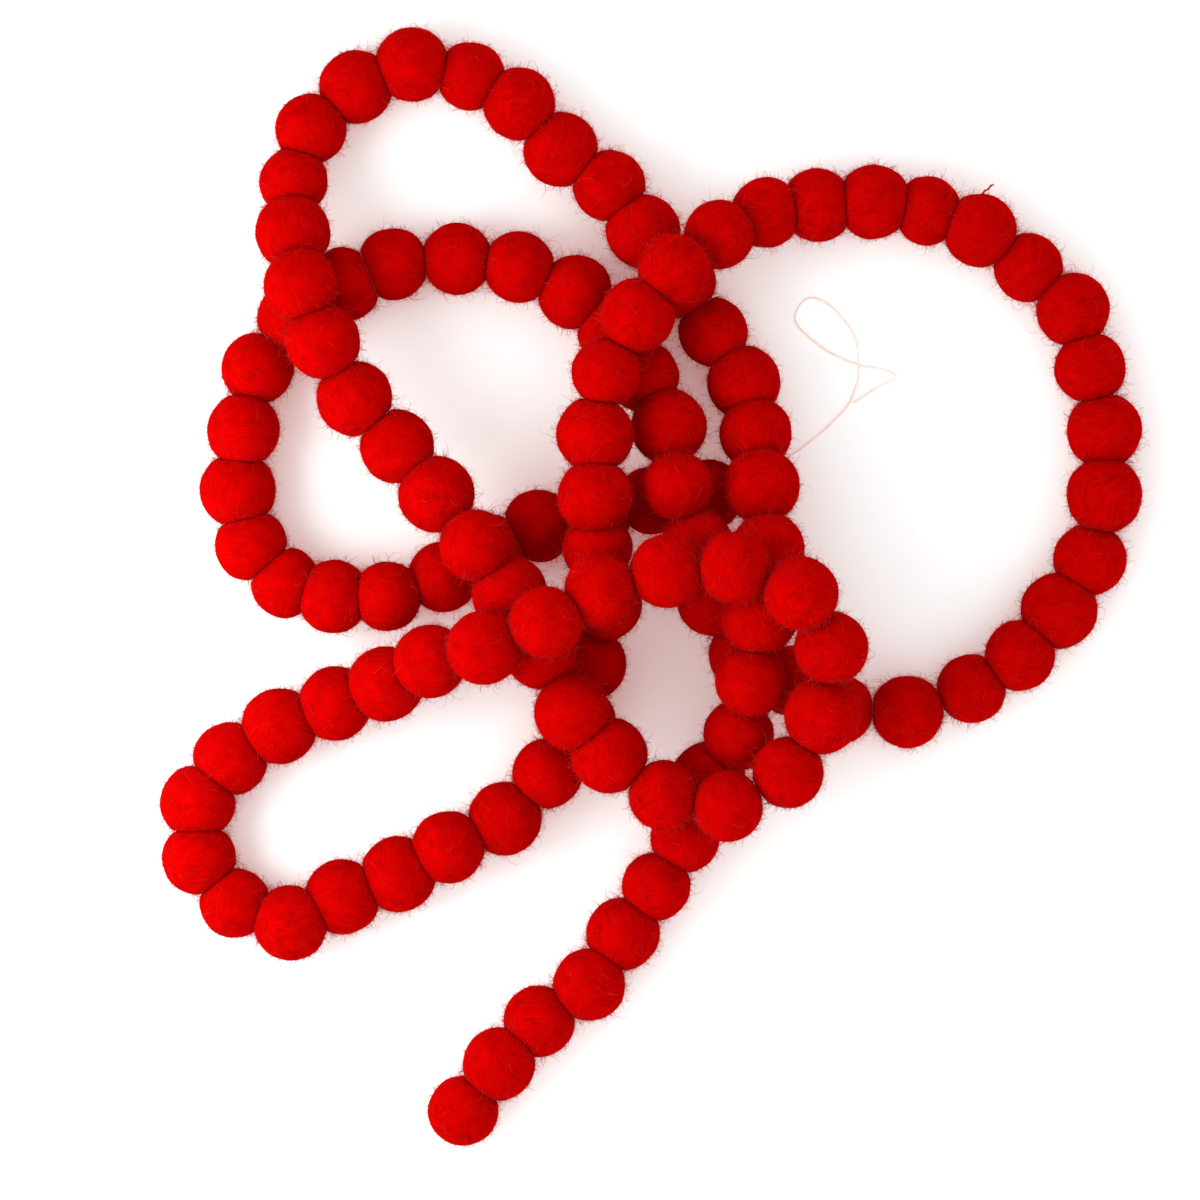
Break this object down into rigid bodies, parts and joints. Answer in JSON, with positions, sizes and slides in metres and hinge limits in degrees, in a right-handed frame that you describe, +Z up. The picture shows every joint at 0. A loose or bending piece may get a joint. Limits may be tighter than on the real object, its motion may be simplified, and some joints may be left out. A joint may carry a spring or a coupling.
{
  "type": "felt ball garland",
  "caption": "Long string of red wool felt balls, threaded tight and dropped in crossing loops, with a thin loose thread tail; for hanging as a decoration.",
  "frame": {"origin": "on the surface that the garland lies on, under the middle of its outline without the thread tail", "axes": "+Z up from the surface; +Y along the garland's longest extent, away from its loose ball end; +X towards the wide single loop"},
  "size_m": [0.3481, 0.3954, 0.075],
  "materials": {
    "wool_felt": "matted wool felt, matt, with a fine fuzz of loose fibres",
    "cotton_string": "two-ply twisted cotton thread, matt"
  },
  "bodies": {
    "root": {"ball_115": "wool_felt", "balls_001_002": "wool_felt", "balls_003_004": "wool_felt", "balls_005_006": "wool_felt", "balls_007_008": "wool_felt", "balls_009_010": "wool_felt", "balls_011_012": "wool_felt", "balls_013_014": "wool_felt", "balls_015_016": "wool_felt", "balls_017_018": "wool_felt", "balls_019_020": "wool_felt", "balls_021_022": "wool_felt", "balls_023_024": "wool_felt", "balls_025_026": "wool_felt", "balls_027_028": "wool_felt", "balls_029_030": "wool_felt", "balls_031_032": "wool_felt", "balls_033_034": "wool_felt", "balls_035_036": "wool_felt", "balls_037_038": "wool_felt", "balls_039_040": "wool_felt", "balls_041_042": "wool_felt", "balls_043_044": "wool_felt", "balls_045_046": "wool_felt", "balls_047_048": "wool_felt", "balls_049_050": "wool_felt", "balls_051_052": "wool_felt", "balls_053_054": "wool_felt", "balls_055_056": "wool_felt", "balls_057_058": "wool_felt", "balls_059_060": "wool_felt", "balls_061_062": "wool_felt", "balls_063_064": "wool_felt", "balls_065_066": "wool_felt", "balls_067_068": "wool_felt", "balls_069_070": "wool_felt", "balls_071_072": "wool_felt", "balls_073_074": "wool_felt", "balls_075_076": "wool_felt", "balls_077_078": "wool_felt", "balls_079_080": "wool_felt", "balls_081_082": "wool_felt", "balls_083_084": "wool_felt", "balls_085_086": "wool_felt", "balls_087_088": "wool_felt", "balls_089_090": "wool_felt", "balls_091_092": "wool_felt", "balls_093_094": "wool_felt", "balls_095_096": "wool_felt", "balls_097_098": "wool_felt", "balls_099_100": "wool_felt", "balls_101_102": "wool_felt", "balls_103_104": "wool_felt", "balls_105_106": "wool_felt", "balls_107_108": "wool_felt", "balls_109_110": "wool_felt", "balls_111_112": "wool_felt", "balls_113_114": "wool_felt", "string_tail": "cotton_string"}
  },
  "joints": []
}
